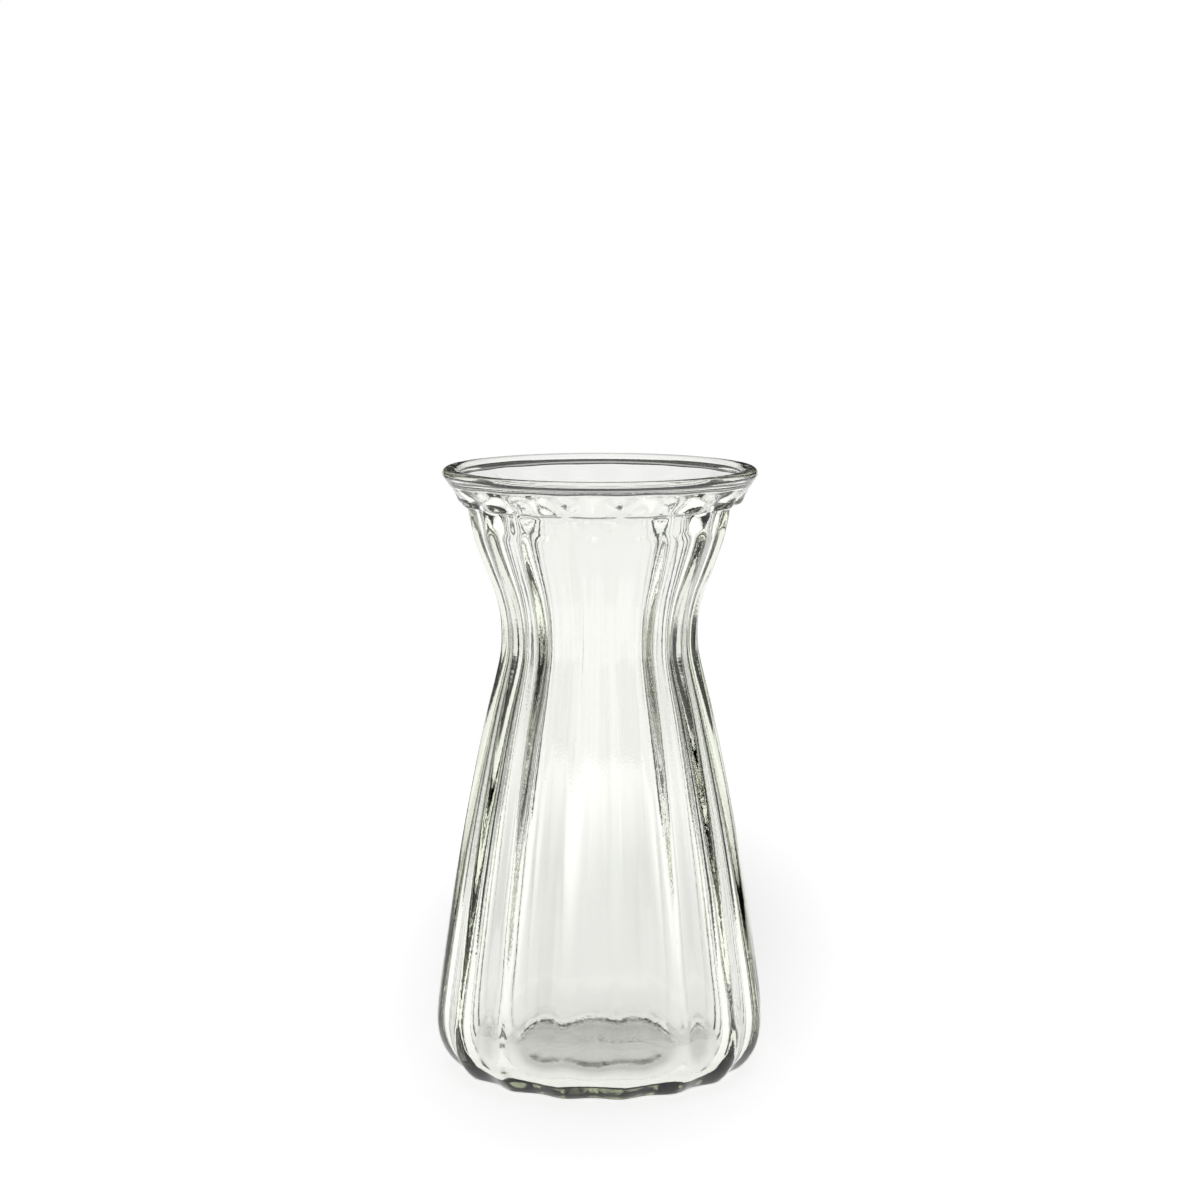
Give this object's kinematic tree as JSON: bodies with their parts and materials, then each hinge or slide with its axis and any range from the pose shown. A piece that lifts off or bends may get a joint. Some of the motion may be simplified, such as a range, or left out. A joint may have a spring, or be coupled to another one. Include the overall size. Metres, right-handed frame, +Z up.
{
  "type": "glass vase",
  "caption": "Waisted clear glass vase with a fluted bell-shaped body, a scalloped collar and a rounded rim, for cut flowers or a forced flower bulb.",
  "frame": {"origin": "middle of the base, on the plane that the vase stands on", "axes": "+Z up along the axis of the vase; the hollows of the flutes lie on the X and Y axes and the mould seams on the Y axis"},
  "size_m": [0.0992, 0.0992, 0.185],
  "materials": {
    "clear_glass": "clear, fire-polished, with a faint grey-green tint in its thickness"
  },
  "bodies": {
    "root": {"glass_vase": "clear_glass"}
  },
  "joints": []
}
